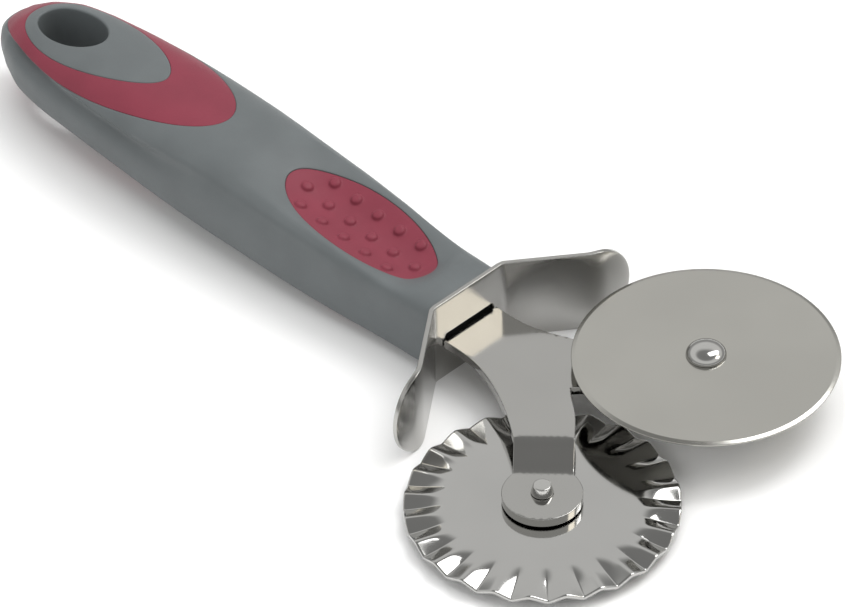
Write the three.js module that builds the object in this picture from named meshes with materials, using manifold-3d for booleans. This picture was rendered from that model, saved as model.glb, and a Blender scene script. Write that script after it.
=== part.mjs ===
// Pastry cutter wheel: a plain and a fluted cutting wheel, each free to roll on a rivet,
// on the two cranked arms of a flat steel fork. The fork's tang runs through a bent finger
// guard into a moulded handle with a hang hole and soft inlays.
//
// Millimetres, +Z up. The parts are drawn in a design frame: +X runs from the handle to the
// wheels, the plain wheel is on the +Y side, z = 0 is the top face of the flat of the fork
// and x = 0 is the front face of the guard. The last lines move the whole tool so that its
// origin is at the middle of the bottom of its bounding box.

import * as THREE from 'three';
import { mergeVertices } from 'three/addons/utils/BufferGeometryUtils.js';
import Module from 'manifold-3d';

const wasm = await Module();
wasm.setup();

// ---------------------------------------------------------------- driving dimensions

// Wheels
const PLAIN_RADIUS = 27.5;
const FLUTED_RADIUS = 27.9;
const WHEEL_SHEET = 0.9;
const WHEEL_BORE = 2.08;
const EDGE_BEVEL_WIDTH = 0.9;
const EDGE_BEVEL_DEPTH = 0.3;
const FLUTE_COUNT = 24;
const FLUTE_INNER_RADIUS = 18.8;
const FLUTE_AMPLITUDE = 0.75;
const FLUTE_PHASE = THREE.MathUtils.degToRad(1.5);
const FLUTE_CREST_SINK = 0.8;

// Where the axles stand, and how far each arm's eye is cranked up or down from the flat
const AXLE_X = 44.3;
const AXLE_Y = 23.9;
const PLAIN_CRANK = 1.6;
const FLUTED_CRANK = -3.5;

// Fork
const FORK_SHEET = 2;
const ARM_ANGLE = THREE.MathUtils.degToRad(47.6);
const ARM_WIDTH = 12.3;
const EYE_RADIUS = 8.2;
const CRANK_CLEAR = 6.3;
const CRANK_RUN_PER_RISE = 1.65;
const CROTCH_X = 29.3;
const SHOULDER_X = 0.3;
const SHOULDER_HALF = 7.6;
const TANG_HALF = 6.4;
const TANG_LENGTH = 62;
const TANG_HOLE_RADIUS = 2.6;
const TANG_HOLES_X = [-22, -44];
const TANG_CLEARANCE = 0.3;

// Guard: one strip, straight across the handle, swept forward, then flared at the tips
const GUARD_SHEET = 1;
const GUARD_HALF_HEIGHT = 9.88;
const GUARD_FLAT_HALF = 9.95;
const GUARD_SWEEP = THREE.MathUtils.degToRad(37.5);
const GUARD_SWEEP_LENGTH = 19.7;
const GUARD_FLARE = THREE.MathUtils.degToRad(8.5);
const GUARD_TIP_LENGTH = 8.5;
const GUARD_BEND_RADIUS = 2.2;
const SLOT_HALF = 6.9;
const SLOT_TOP = 1.2;
const SLOT_BOTTOM = -2.4;

// Rivets and washers
const RIVET_SHAFT_RADIUS = 2;
const RIVET_HEAD_RADIUS = 4.2;
const RIVET_HEAD_HEIGHT = 2.2;
const RIVET_TAIL_BASE = 2.35;
const RIVET_TAIL_TIP = 1.8;
const RIVET_TAIL_HEIGHT = 1.95;
const WASHER_RADIUS = 4.5;
const WASHER_SHEET = 0.3;
const PLAY = 0.1;

// Handle: half width, half height and height of the middle of the section along the handle
const HANDLE_FRONT = -1.3;
const HANDLE_BUTT = -142.3;
const HANDLE_SECTIONS = [
  { x: -1.3, halfWidth: 10.6, halfHeight: 9.3, middle: 0 },
  { x: -16, halfWidth: 11.1, halfHeight: 9.3, middle: 0.15 },
  { x: -30, halfWidth: 12.7, halfHeight: 9.6, middle: 0.75 },
  { x: -47, halfWidth: 14.3, halfHeight: 10.5, middle: 1.6 },
  { x: -62, halfWidth: 15.2, halfHeight: 11.4, middle: 2.4 },
  { x: -78, halfWidth: 15.5, halfHeight: 11.1, middle: 3.1 },
  { x: -93, halfWidth: 15.1, halfHeight: 10.9, middle: 3.7 },
  { x: -107, halfWidth: 14.5, halfHeight: 10.3, middle: 3.95 },
  { x: -120, halfWidth: 13.4, halfHeight: 9.8, middle: 3.75 },
  { x: -128, halfWidth: 11.9, halfHeight: 9.1, middle: 3.6 },
  { x: -134, halfWidth: 9.3, halfHeight: 7.5, middle: 3.5 },
  { x: -138, halfWidth: 6.9, halfHeight: 5.4, middle: 3.4 },
  { x: -140.5, halfWidth: 4.5, halfHeight: 3.4, middle: 3.3 },
  { x: -141.9, halfWidth: 2.2, halfHeight: 1.4, middle: 3.2 },
  { x: -142.3, halfWidth: 0.6, halfHeight: 0.5, middle: 3.2 },
];
const NECK_SQUARENESS = 4.5;
const BODY_SQUARENESS = 2.6;
const NECK_FADE = [-62, -16];
const THUMB_DISH_DEPTH = 3.5;
const THUMB_DISH_HALF = 10.2;
const THUMB_DISH_POWER = 1.1;
const THUMB_DISH_NEAR = [-6, -15];
const THUMB_DISH_FAR = [-64, -40];
const HANDLE_SIDES = 20;
const HANDLE_STEPS = 26;
const BUTT_CROWDING = 1.4;

// Handle layers, as depths below the outer surface
const INLAY_DEPTH = 0.9;
const RECESS_DEPTH = 1.1;
const GRIP_INNER = 2.4;
const CORE_OUTER = 2.8;
const CORE_BUTT = -137;
const SEAM = 0.15;

// Hang hole, ring inlay around it, and the thumb pad near the guard
const HOLE = { from: -130.6, to: -111.5, halfWidth: 6, taper: 0 };
const RING_OUTER = { from: -140.1, to: -72, halfWidth: 13, taper: 0 };
const RING_INNER = { from: -133.5, to: -91.3, halfWidth: 9.7, taper: -0.18 };
const RING_UNDERSIDE_WIDTH = 0.84;
const PAD = { from: -52.3, to: -11, halfWidth: 8.9, taper: 0 };
const DOT_PITCH = 6.4;
const DOT_ROW_SPACING = 5;
const DOT_FIRST_X = -15.7;
const DOT_BASE_RADIUS = 1.25;
const DOT_TIP_RADIUS = 0.95;
const DOT_HEIGHT = 0.6;

// ---------------------------------------------------------------- materials

function material(colour, roughness, metalness) {
  return new THREE.MeshStandardMaterial({ color: colour, roughness, metalness });
}

const STEEL = material(0xa9aaa6, 0.25, 1);
const WHEEL_STEEL = material(0xabaaa4, 0.35, 1);
const GRIP_GREY = material(0x70767a, 0.6, 0);
const INLAY_RED = material(0x94485a, 0.55, 0);
const CORE_DARK = material(0x2c2e30, 0.6, 0);

// ---------------------------------------------------------------- booleans

function toSolid(geometry) {
  const bare = new THREE.BufferGeometry();
  bare.setAttribute('position', geometry.getAttribute('position'));
  if (geometry.index) bare.setIndex(geometry.index);
  const merged = mergeVertices(bare, 1e-4);
  const mesh = new wasm.Mesh({
    numProp: 3,
    vertProperties: new Float32Array(merged.getAttribute('position').array),
    triVerts: new Uint32Array(merged.index.array),
  });
  return new wasm.Manifold(mesh);
}

function toGeometry(solid) {
  const mesh = solid.getMesh();
  const positions = new Float32Array(mesh.vertProperties);
  const geometry = new THREE.BufferGeometry();
  geometry.setAttribute('position', new THREE.BufferAttribute(positions, 3));
  geometry.setIndex(new THREE.BufferAttribute(new Uint32Array(mesh.triVerts), 1));
  return geometry;
}

function boxSolid(low, high) {
  const geometry = new THREE.BoxGeometry(high[0] - low[0], high[1] - low[1], high[2] - low[2]);
  geometry.translate((low[0] + high[0]) / 2, (low[1] + high[1]) / 2, (low[2] + high[2]) / 2);
  return toSolid(geometry);
}

// An upright round pin or hole through the point (x, y)
function postSolid(x, y, radius, bottom, top, sides = 32) {
  const geometry = new THREE.CylinderGeometry(radius, radius, top - bottom, sides);
  geometry.rotateX(Math.PI / 2);
  geometry.translate(x, y, (top + bottom) / 2);
  return toSolid(geometry);
}

// An upright prism on a plan outline
function prismSolid(outline, bottom, top) {
  const geometry = new THREE.ExtrudeGeometry(new THREE.Shape(outline), {
    depth: top - bottom,
    bevelEnabled: false,
  });
  geometry.translate(0, 0, bottom);
  return toSolid(geometry);
}

// ---------------------------------------------------------------- handle

function smoothstep(from, to, value) {
  return THREE.MathUtils.smoothstep(value, Math.min(from, to), Math.max(from, to));
}

// The section of the handle at x, from a smooth curve through the listed sections
const sectionX = HANDLE_SECTIONS.map((section) => section.x);
const sectionCurves = ['halfWidth', 'halfHeight', 'middle'].map((key) => {
  const points = HANDLE_SECTIONS.map((section) => new THREE.Vector2(section.x, section[key]));
  return new THREE.SplineCurve(points);
});

function handleSection(x) {
  let index = 0;
  while (index < sectionX.length - 2 && x < sectionX[index + 1]) index += 1;
  const along = (sectionX[index] - x) / (sectionX[index] - sectionX[index + 1]);
  const parameter = (index + THREE.MathUtils.clamp(along, 0, 1)) / (sectionX.length - 1);
  const [halfWidth, halfHeight, middle] = sectionCurves.map((curve) => curve.getPoint(parameter).y);
  return { halfWidth, halfHeight, middle };
}

function thumbDish(x, y) {
  const across = Math.min(Math.abs(y) / THUMB_DISH_HALF, 1);
  const along = (1 - smoothstep(...THUMB_DISH_NEAR, x)) * smoothstep(...THUMB_DISH_FAR, x);
  return THUMB_DISH_DEPTH * along * (1 - across * across) ** THUMB_DISH_POWER;
}

// The exponent of the superellipse that the section follows: 2 is an ellipse, more is squarer
function handleSquareness(x) {
  return THREE.MathUtils.lerp(BODY_SQUARENESS, NECK_SQUARENESS, smoothstep(...NECK_FADE, x));
}

// A point on the surface that lies `depth` below the outer surface of the handle
function handlePoint(x, angle, depth) {
  const { halfWidth, halfHeight, middle } = handleSection(x);
  const power = 2 / handleSquareness(x);
  const across = Math.cos(angle);
  const up = Math.sin(angle);
  const y = Math.sign(across) * Math.abs(across) ** power * Math.max(halfWidth - depth, 0.4);
  const rise = Math.sign(up) * Math.abs(up) ** power * Math.max(halfHeight - depth, 0.3);
  const dish = up > 0 ? thumbDish(x, y) : 0;
  return new THREE.Vector3(x, y, middle + rise - dish);
}

// The height of the outer surface of the handle above or below the plan point (x, y)
function handleHeight(x, y, side) {
  let low = 0;
  let high = Math.PI / 2;
  for (let step = 0; step < 40; step += 1) {
    const middle = (low + high) / 2;
    if (handlePoint(x, middle, 0).y > Math.abs(y)) low = middle;
    else high = middle;
  }
  return handlePoint(x, side * low, 0).z;
}

// A closed body that follows the handle at a depth below its outer surface. Its steps are
// close together at the butt, where the handle rounds off.
function handleSolid(depth, front, butt) {
  const geometry = new THREE.CylinderGeometry(1, 1, 1, HANDLE_SIDES, HANDLE_STEPS);
  const position = geometry.getAttribute('position');
  for (let index = 0; index < position.count; index += 1) {
    const along = position.getY(index) + 0.5;
    const x = THREE.MathUtils.lerp(butt, front, along ** BUTT_CROWDING);
    const radius = Math.hypot(position.getX(index), position.getZ(index));
    const angle = Math.atan2(position.getZ(index), -position.getX(index));
    const point = handlePoint(x, angle, depth);
    if (radius < 0.5) {
      point.set(x, 0, handleSection(x).middle);
    }
    position.setXYZ(index, point.x, point.y, point.z);
  }
  return toSolid(geometry);
}

// An egg-shaped plan outline from x = `from` to x = `to`, wider towards `to` for a positive
// taper, and `grow` larger all round
function eggOutline(egg, grow, count = 30) {
  const halfLength = (egg.to - egg.from) / 2 + grow;
  const centre = (egg.to + egg.from) / 2;
  const points = [];
  for (let index = 0; index < count; index += 1) {
    const angle = (index / count) * 2 * Math.PI;
    points.push(new THREE.Vector2(
      centre + halfLength * Math.cos(angle),
      (egg.halfWidth + grow) * Math.sin(angle) * (1 + egg.taper * Math.cos(angle)),
    ));
  }
  return points;
}

// The prism above or below the handle's middle on a plan outline
function halfPrism(outline, side) {
  const middle = 3.7;
  const reach = 30;
  return side > 0 ? prismSolid(outline, middle, reach) : prismSolid(outline, -reach, middle);
}

const outerSolid = handleSolid(0, HANDLE_FRONT, HANDLE_BUTT);
const holeSolid = prismSolid(eggOutline(HOLE, 0), -30, 30);
const inlayFloor = handleSolid(INLAY_DEPTH, HANDLE_FRONT + 5, HANDLE_BUTT + INLAY_DEPTH);
const recessFloor = handleSolid(RECESS_DEPTH, HANDLE_FRONT + 5, HANDLE_BUTT + RECESS_DEPTH);

// The room of a ring inlay, which is narrower on the underside
function ringPrism(side, grow) {
  const width = side > 0 ? 1 : RING_UNDERSIDE_WIDTH;
  const narrowed = (egg) => ({ ...egg, halfWidth: egg.halfWidth * width });
  const [outer, inner] = [RING_OUTER, RING_INNER].map(narrowed);
  return halfPrism(eggOutline(outer, grow), side).subtract(halfPrism(eggOutline(inner, -grow), side));
}

function inlaySolid(prism) {
  return outerSolid.intersect(prism).subtract(inlayFloor);
}

function makeRingInlay(side) {
  return toGeometry(inlaySolid(ringPrism(side, -SEAM)));
}

// The raised dots of a pad: a middle row of six between two staggered rows of five
function dotCentres() {
  const centres = [];
  for (const row of [-1, 0, 1]) {
    const count = row === 0 ? 6 : 5;
    for (let index = 0; index < count; index += 1) {
      const shift = row === 0 ? 0 : 0.5;
      centres.push([DOT_FIRST_X - (index + shift) * DOT_PITCH, row * DOT_ROW_SPACING]);
    }
  }
  return centres;
}

function makePad(side) {
  const prism = halfPrism(eggOutline(PAD, -SEAM), side);
  let pad = inlaySolid(prism);
  for (const [x, y] of dotCentres()) {
    const sink = 0.5;
    const geometry = new THREE.CylinderGeometry(DOT_TIP_RADIUS, DOT_BASE_RADIUS, DOT_HEIGHT + sink, 6);
    geometry.rotateX((side * Math.PI) / 2);
    const surface = handleHeight(x, y, side);
    geometry.translate(x, y, surface + (side * (DOT_HEIGHT - sink)) / 2);
    pad = pad.add(toSolid(geometry).intersect(prism).subtract(inlayFloor));
  }
  return toGeometry(pad);
}

function makeGrip() {
  let grip = outerSolid.subtract(handleSolid(GRIP_INNER, HANDLE_FRONT + 1, CORE_BUTT - 0.3));
  for (const side of [1, -1]) {
    const openings = ringPrism(side, SEAM).add(halfPrism(eggOutline(PAD, SEAM), side));
    grip = grip.subtract(openings.subtract(recessFloor));
  }
  return toGeometry(grip.subtract(holeSolid));
}

// The tang's slot follows the tang all round, so the core keeps a post in each tang hole
function makeCore() {
  const slot = prismSolid(tangOutline(TANG_CLEARANCE), -FORK_SHEET - TANG_CLEARANCE, TANG_CLEARANCE);
  let core = handleSolid(CORE_OUTER, HANDLE_FRONT, CORE_BUTT).subtract(holeSolid);
  let room = slot;
  for (const x of TANG_HOLES_X) {
    room = room.subtract(postSolid(x, 0, TANG_HOLE_RADIUS - TANG_CLEARANCE, -10, 10));
  }
  core = core.subtract(room);
  return toGeometry(core);
}

// ---------------------------------------------------------------- fork

function tangOutline(grow) {
  const half = TANG_HALF + grow;
  const corner = half / 2;
  const end = -TANG_LENGTH - grow;
  return [
    new THREE.Vector2(4, -half),
    new THREE.Vector2(4, half),
    new THREE.Vector2(end + corner, half),
    new THREE.Vector2(end, corner),
    new THREE.Vector2(end, -corner),
    new THREE.Vector2(end + corner, -half),
  ];
}

// A plan point given by its distance from the axle back along the arm, and its offset
// towards the outer side of the arm
function armPoint(back, outward) {
  return new THREE.Vector2(
    AXLE_X - back * Math.cos(ARM_ANGLE) - outward * Math.sin(ARM_ANGLE),
    AXLE_Y - back * Math.sin(ARM_ANGLE) + outward * Math.cos(ARM_ANGLE),
  );
}

// One half of the fork's plan outline, from the shoulder round the eye to the crotch
function forkHalfOutline() {
  const armHalf = ARM_WIDTH / 2;
  const neck = Math.sqrt(EYE_RADIUS ** 2 - armHalf ** 2);
  const crank = CRANK_CLEAR - FLUTED_CRANK * CRANK_RUN_PER_RISE;
  const outer = new THREE.SplineCurve([
    new THREE.Vector2(SHOULDER_X, SHOULDER_HALF),
    new THREE.Vector2(8.2, 7.8),
    new THREE.Vector2(15.5, 9.8),
    new THREE.Vector2(23.7, 13.8),
    armPoint(crank, armHalf),
  ]).getPoints(16);
  const start = Math.atan2(armHalf, -neck) + ARM_ANGLE;
  const eye = new THREE.EllipseCurve(
    AXLE_X, AXLE_Y, EYE_RADIUS, EYE_RADIUS, start, 2 * ARM_ANGLE - start, true,
  ).getPoints(32);
  const inner = new THREE.SplineCurve([
    armPoint(crank, -armHalf),
    new THREE.Vector2(35.8, 5.6),
    new THREE.Vector2(31, 1.8),
    new THREE.Vector2(CROTCH_X, 0),
  ]).getPoints(10);
  return [...outer, ...eye, ...inner];
}

function forkOutline() {
  const half = forkHalfOutline();
  const mirrored = half.slice(0, -1).map((point) => new THREE.Vector2(point.x, -point.y));
  return [...half, ...mirrored.reverse()];
}

// The sheet of one arm seen from its side: flat, ramp, and the flat of the eye
function crankStrip(rise, side) {
  const run = Math.abs(rise) * CRANK_RUN_PER_RISE;
  const mitre = FORK_SHEET * Math.tan(Math.atan2(rise, run) / 2);
  const flatEnd = -CRANK_CLEAR - run;
  const tip = EYE_RADIUS + 0.5;
  const profile = new THREE.Shape([
    new THREE.Vector2(flatEnd - 1, 0),
    new THREE.Vector2(flatEnd - 1, -FORK_SHEET),
    new THREE.Vector2(flatEnd + mitre, -FORK_SHEET),
    new THREE.Vector2(-CRANK_CLEAR + mitre, rise - FORK_SHEET),
    new THREE.Vector2(tip, rise - FORK_SHEET),
    new THREE.Vector2(tip, rise),
    new THREE.Vector2(-CRANK_CLEAR, rise),
    new THREE.Vector2(flatEnd, 0),
  ]);
  const width = 2 * EYE_RADIUS + 1;
  const geometry = new THREE.ExtrudeGeometry(profile, { depth: width, bevelEnabled: false });
  geometry.translate(0, 0, -width / 2);
  geometry.rotateX(Math.PI / 2);
  geometry.rotateZ(side * ARM_ANGLE);
  geometry.translate(AXLE_X, side * AXLE_Y, 0);
  return toSolid(geometry);
}

// The room beyond the start of one arm's ramp
function beyondCrank(rise, side) {
  const start = -CRANK_CLEAR - Math.abs(rise) * CRANK_RUN_PER_RISE;
  const length = 40;
  const geometry = new THREE.BoxGeometry(length, 2 * EYE_RADIUS + 1, 20);
  geometry.translate(start + length / 2, 0, 0);
  geometry.rotateZ(side * ARM_ANGLE);
  geometry.translate(AXLE_X, side * AXLE_Y, 0);
  return toSolid(geometry);
}

function makeFork() {
  const arms = [[PLAIN_CRANK, 1], [FLUTED_CRANK, -1]];
  let sheet = prismSolid(forkOutline(), -FORK_SHEET, 0).add(prismSolid(tangOutline(0), -FORK_SHEET, 0));
  const plan = prismSolid(forkOutline(), -20, 20);
  for (const [rise, side] of arms) {
    sheet = sheet.subtract(beyondCrank(rise, side));
  }
  for (const [rise, side] of arms) {
    sheet = sheet.add(crankStrip(rise, side).intersect(plan));
    sheet = sheet.subtract(postSolid(AXLE_X, side * AXLE_Y, RIVET_SHAFT_RADIUS + PLAY, -20, 20, 24));
  }
  for (const x of TANG_HOLES_X) {
    sheet = sheet.subtract(postSolid(x, 0, TANG_HOLE_RADIUS, -10, 10, 24));
  }
  return toGeometry(sheet);
}

// ---------------------------------------------------------------- guard

// Replaces the inner corners of a path with short arcs
function filletPath(points, radius) {
  const rounded = [points[0]];
  for (let index = 1; index < points.length - 1; index += 1) {
    const corner = points[index];
    const before = points[index - 1].clone().sub(corner).normalize();
    const after = points[index + 1].clone().sub(corner).normalize();
    const bend = Math.PI - before.angleTo(after);
    const reach = radius * Math.tan(bend / 2);
    const from = corner.clone().addScaledVector(before, reach);
    const to = corner.clone().addScaledVector(after, reach);
    rounded.push(...new THREE.QuadraticBezierCurve(from, corner, to).getPoints(4));
  }
  rounded.push(points[points.length - 1]);
  return rounded;
}

// The line that lies `distance` to the left of a path
function offsetPath(points, distance) {
  return points.map((point, index) => {
    const before = points[Math.max(index - 1, 0)];
    const after = points[Math.min(index + 1, points.length - 1)];
    const heading = after.clone().sub(before).normalize();
    return new THREE.Vector2(point.x - heading.y * distance, point.y + heading.x * distance);
  });
}

function makeGuard() {
  const sweepEnd = new THREE.Vector2(
    GUARD_SWEEP_LENGTH * Math.sin(GUARD_SWEEP),
    GUARD_FLAT_HALF + GUARD_SWEEP_LENGTH * Math.cos(GUARD_SWEEP),
  );
  const tip = new THREE.Vector2(
    sweepEnd.x + GUARD_TIP_LENGTH * Math.sin(GUARD_FLARE),
    sweepEnd.y + GUARD_TIP_LENGTH * Math.cos(GUARD_FLARE),
  );
  const right = [new THREE.Vector2(0, GUARD_FLAT_HALF), sweepEnd, tip];
  const left = right.map((point) => new THREE.Vector2(point.x, -point.y)).reverse();
  const front = filletPath([...left, ...right], GUARD_BEND_RADIUS);
  const back = offsetPath(front, GUARD_SHEET).reverse();
  const strip = prismSolid([...front, ...back], -GUARD_HALF_HEIGHT, GUARD_HALF_HEIGHT);

  // Seen along X, the strip has straight edges and half-round tips
  const face = new THREE.Shape();
  const tipReach = tip.y - sweepEnd.y;
  face.moveTo(-sweepEnd.y, -GUARD_HALF_HEIGHT);
  face.lineTo(sweepEnd.y, -GUARD_HALF_HEIGHT);
  face.absellipse(sweepEnd.y, 0, tipReach, GUARD_HALF_HEIGHT, -Math.PI / 2, Math.PI / 2);
  face.lineTo(-sweepEnd.y, GUARD_HALF_HEIGHT);
  face.absellipse(-sweepEnd.y, 0, tipReach, GUARD_HALF_HEIGHT, Math.PI / 2, (3 * Math.PI) / 2);
  const sheath = new THREE.ExtrudeGeometry(face, { depth: 40, bevelEnabled: false, curveSegments: 24 });
  const acrossToY = new THREE.Vector3(0, 1, 0);
  const upToZ = new THREE.Vector3(0, 0, 1);
  const depthToX = new THREE.Vector3(1, 0, 0);
  sheath.applyMatrix4(new THREE.Matrix4().makeBasis(acrossToY, upToZ, depthToX));
  sheath.translate(-10, 0, 0);

  const slot = boxSolid([-4, -SLOT_HALF, SLOT_BOTTOM], [2, SLOT_HALF, SLOT_TOP]);
  return toGeometry(strip.intersect(toSolid(sheath)).subtract(slot));
}

// ---------------------------------------------------------------- wheels and rivets

// A ring turned about Z from a closed profile of [radius, height] points
function turned(profile, segments) {
  const points = [...profile, profile[0]].map(([radius, height]) => new THREE.Vector2(radius, height));
  const geometry = new THREE.LatheGeometry(points, segments);
  geometry.rotateX(Math.PI / 2);
  return geometry;
}

function makePlainWheel() {
  const land = PLAIN_RADIUS - EDGE_BEVEL_WIDTH;
  return toGeometry(toSolid(turned([
    [WHEEL_BORE, 0],
    [land, 0],
    [PLAIN_RADIUS, EDGE_BEVEL_DEPTH],
    [PLAIN_RADIUS, WHEEL_SHEET - EDGE_BEVEL_DEPTH],
    [land, WHEEL_SHEET],
    [WHEEL_BORE, WHEEL_SHEET],
  ], 64)));
}

// How far the fluted sheet stands above the flat of the wheel at a radius and an angle
function fluteHeight(radius, angle) {
  const wave = -Math.cos(FLUTE_COUNT * (angle - FLUTE_PHASE));
  const fade = smoothstep(FLUTE_INNER_RADIUS, FLUTED_RADIUS - 3, radius);
  return FLUTE_AMPLITUDE * (wave - FLUTE_CREST_SINK) * fade;
}

function makeFlutedWheel() {
  const steps = 3;
  const lower = [[WHEEL_BORE, 0]];
  for (let step = 0; step <= steps; step += 1) {
    lower.push([THREE.MathUtils.lerp(FLUTE_INNER_RADIUS, FLUTED_RADIUS, step / steps), 0]);
  }
  const upper = lower.map(([radius]) => [radius, WHEEL_SHEET]).reverse();
  const geometry = turned([...lower, ...upper], FLUTE_COUNT * 4);
  geometry.rotateZ(FLUTE_PHASE);
  const position = geometry.getAttribute('position');
  for (let index = 0; index < position.count; index += 1) {
    const x = position.getX(index);
    const y = position.getY(index);
    const lift = fluteHeight(Math.hypot(x, y), Math.atan2(y, x));
    position.setZ(index, position.getZ(index) + lift);
  }
  return toGeometry(toSolid(geometry));
}

// A rivet with a domed head above z = 0 and its tail `grip` below, then turned over if
// its head belongs underneath
function makeRivet(grip, headDown) {
  const shaftLength = grip + PLAY;
  const points = [new THREE.Vector2(0, -shaftLength - RIVET_TAIL_HEIGHT)];
  points.push(new THREE.Vector2(RIVET_TAIL_TIP, -shaftLength - RIVET_TAIL_HEIGHT));
  points.push(new THREE.Vector2(RIVET_TAIL_BASE, -shaftLength));
  points.push(new THREE.Vector2(RIVET_SHAFT_RADIUS, -shaftLength));
  points.push(new THREE.Vector2(RIVET_SHAFT_RADIUS, 0));
  for (let step = 0; step <= 6; step += 1) {
    const angle = (step / 6) * (Math.PI / 2);
    const radius = step === 6 ? 0 : RIVET_HEAD_RADIUS * Math.cos(angle);
    points.push(new THREE.Vector2(radius, RIVET_HEAD_HEIGHT * Math.sin(angle)));
  }
  const geometry = new THREE.LatheGeometry(points, 20);
  geometry.rotateX(headDown ? -Math.PI / 2 : Math.PI / 2);
  return toGeometry(toSolid(geometry));
}

function makeWasher() {
  return toGeometry(toSolid(turned([
    [WHEEL_BORE, 0],
    [WASHER_RADIUS, 0],
    [WASHER_RADIUS, WASHER_SHEET],
    [WHEEL_BORE, WASHER_SHEET],
  ], 20)));
}

// ---------------------------------------------------------------- assembly

const tool = new THREE.Group();

function place(name, geometry, finish, x = 0, y = 0, z = 0) {
  const mesh = new THREE.Mesh(geometry, finish);
  mesh.name = name;
  mesh.position.set(x, y, z);
  tool.add(mesh);
}

place('handle_core', makeCore(), CORE_DARK);
place('handle_grip', makeGrip(), GRIP_GREY);
place('ring_inlay_top', makeRingInlay(1), INLAY_RED);
place('ring_inlay_bottom', makeRingInlay(-1), INLAY_RED);
place('thumb_pad', makePad(1), INLAY_RED);
place('finger_pad', makePad(-1), INLAY_RED);
place('finger_guard', makeGuard(), STEEL);
place('fork', makeFork(), STEEL);

// Plain wheel, above its arm: washer, wheel and rivet head stack upwards
const plainWasherZ = PLAIN_CRANK + PLAY;
const plainWheelZ = plainWasherZ + WASHER_SHEET + PLAY;
const plainHeadZ = plainWheelZ + WHEEL_SHEET + PLAY;
place('plain_wheel_washer', makeWasher(), STEEL, AXLE_X, AXLE_Y, plainWasherZ);
place('plain_wheel', makePlainWheel(), WHEEL_STEEL, AXLE_X, AXLE_Y, plainWheelZ);
const plainGrip = plainHeadZ - PLAIN_CRANK + FORK_SHEET;
place('plain_wheel_rivet', makeRivet(plainGrip, false), STEEL, AXLE_X, AXLE_Y, plainHeadZ);

// Fluted wheel, below its arm: washer, wheel and rivet head stack downwards
const flutedArmBottom = FLUTED_CRANK - FORK_SHEET;
const flutedWasherZ = flutedArmBottom - PLAY - WASHER_SHEET;
const flutedWheelZ = flutedWasherZ - PLAY - WHEEL_SHEET;
const flutedHeadZ = flutedWheelZ - PLAY;
place('fluted_wheel_washer', makeWasher(), STEEL, AXLE_X, -AXLE_Y, flutedWasherZ);
place('fluted_wheel', makeFlutedWheel(), WHEEL_STEEL, AXLE_X, -AXLE_Y, flutedWheelZ);
const flutedGrip = FLUTED_CRANK - flutedHeadZ;
place('fluted_wheel_rivet', makeRivet(flutedGrip, true), STEEL, AXLE_X, -AXLE_Y, flutedHeadZ);

// Origin at the middle of the bottom of the bounding box
const bounds = new THREE.Box3().setFromObject(tool);
const centre = bounds.getCenter(new THREE.Vector3());
tool.position.set(-centre.x, -centre.y, -bounds.min.z);

export default tool;
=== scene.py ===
"""The looks of a pastry cutter: fine surfaces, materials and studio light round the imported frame.

Pieces are drawn in millimetres in the design frame: +X from the handle to the wheels, the plain
wheel on the +Y side, z = 0 on top of the flat of the fork and x = 0 on the front of the guard.
add_piece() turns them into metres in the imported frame.
"""

import math

import bmesh
import bpy
import numpy as np
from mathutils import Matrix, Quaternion, Vector
from mathutils.geometry import delaunay_2d_cdt


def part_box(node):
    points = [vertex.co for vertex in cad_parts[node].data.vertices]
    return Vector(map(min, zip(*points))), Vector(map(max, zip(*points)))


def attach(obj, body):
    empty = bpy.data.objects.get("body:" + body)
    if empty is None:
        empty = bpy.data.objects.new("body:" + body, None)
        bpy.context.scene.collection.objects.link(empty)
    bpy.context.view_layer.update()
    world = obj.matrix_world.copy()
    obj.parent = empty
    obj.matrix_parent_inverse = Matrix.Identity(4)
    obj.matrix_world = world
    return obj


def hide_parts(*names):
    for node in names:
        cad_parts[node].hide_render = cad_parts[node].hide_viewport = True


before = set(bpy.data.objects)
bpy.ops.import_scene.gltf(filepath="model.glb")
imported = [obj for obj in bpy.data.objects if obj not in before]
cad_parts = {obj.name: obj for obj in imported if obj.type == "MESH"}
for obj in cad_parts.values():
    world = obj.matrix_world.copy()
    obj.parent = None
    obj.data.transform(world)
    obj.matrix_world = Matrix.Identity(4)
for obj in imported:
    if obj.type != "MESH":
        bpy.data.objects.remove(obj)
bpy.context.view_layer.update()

# ---------------------------------------------------------------- sizes, in millimetres

MM = 0.001
TURN = 2 * math.pi

# Wheels and their stack on the arms
PLAIN_RADIUS = 27.5
FLUTED_RADIUS = 27.9
WHEEL_SHEET = 0.9
WHEEL_BORE = 2.08
PLAIN_BEVEL_RUN = 0.9
PLAIN_BEVEL_DROP = 0.3
PLAIN_EDGE_ROUNDING = 0.12
FLUTED_EDGE_BREAK = 0.12
FLUTE_COUNT = 24
FLUTE_INNER_RADIUS = 18.8
FLUTE_FULL_RADIUS = 24.2
FLUTE_AMPLITUDE = 0.75
FLUTE_CREST = 1.05
FLUTE_CREST_SOFTNESS = 0.03
FLUTE_GROWTH_RUN = 3
FLUTE_GROWTH = 0.45
FLUTE_RIM_SINK = 0.5
FLUTE_PHASE = math.radians(1.5)
AXLE_X = 44.3
AXLE_Y = 23.9
PLAIN_CRANK = 1.6
FLUTED_CRANK = -3.5
PLAY = 0.1
WASHER_RADIUS = 4.5
WASHER_SHEET = 0.3
WASHER_ROUNDING = 0.06
SHAFT_RADIUS = 2
HEAD_RADIUS = 4.2
HEAD_HEIGHT = 2.2
TAIL_BASE = 2.35
TAIL_TIP = 1.8
TAIL_HEIGHT = 1.95
RIVET_ROUNDING = 0.22

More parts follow.
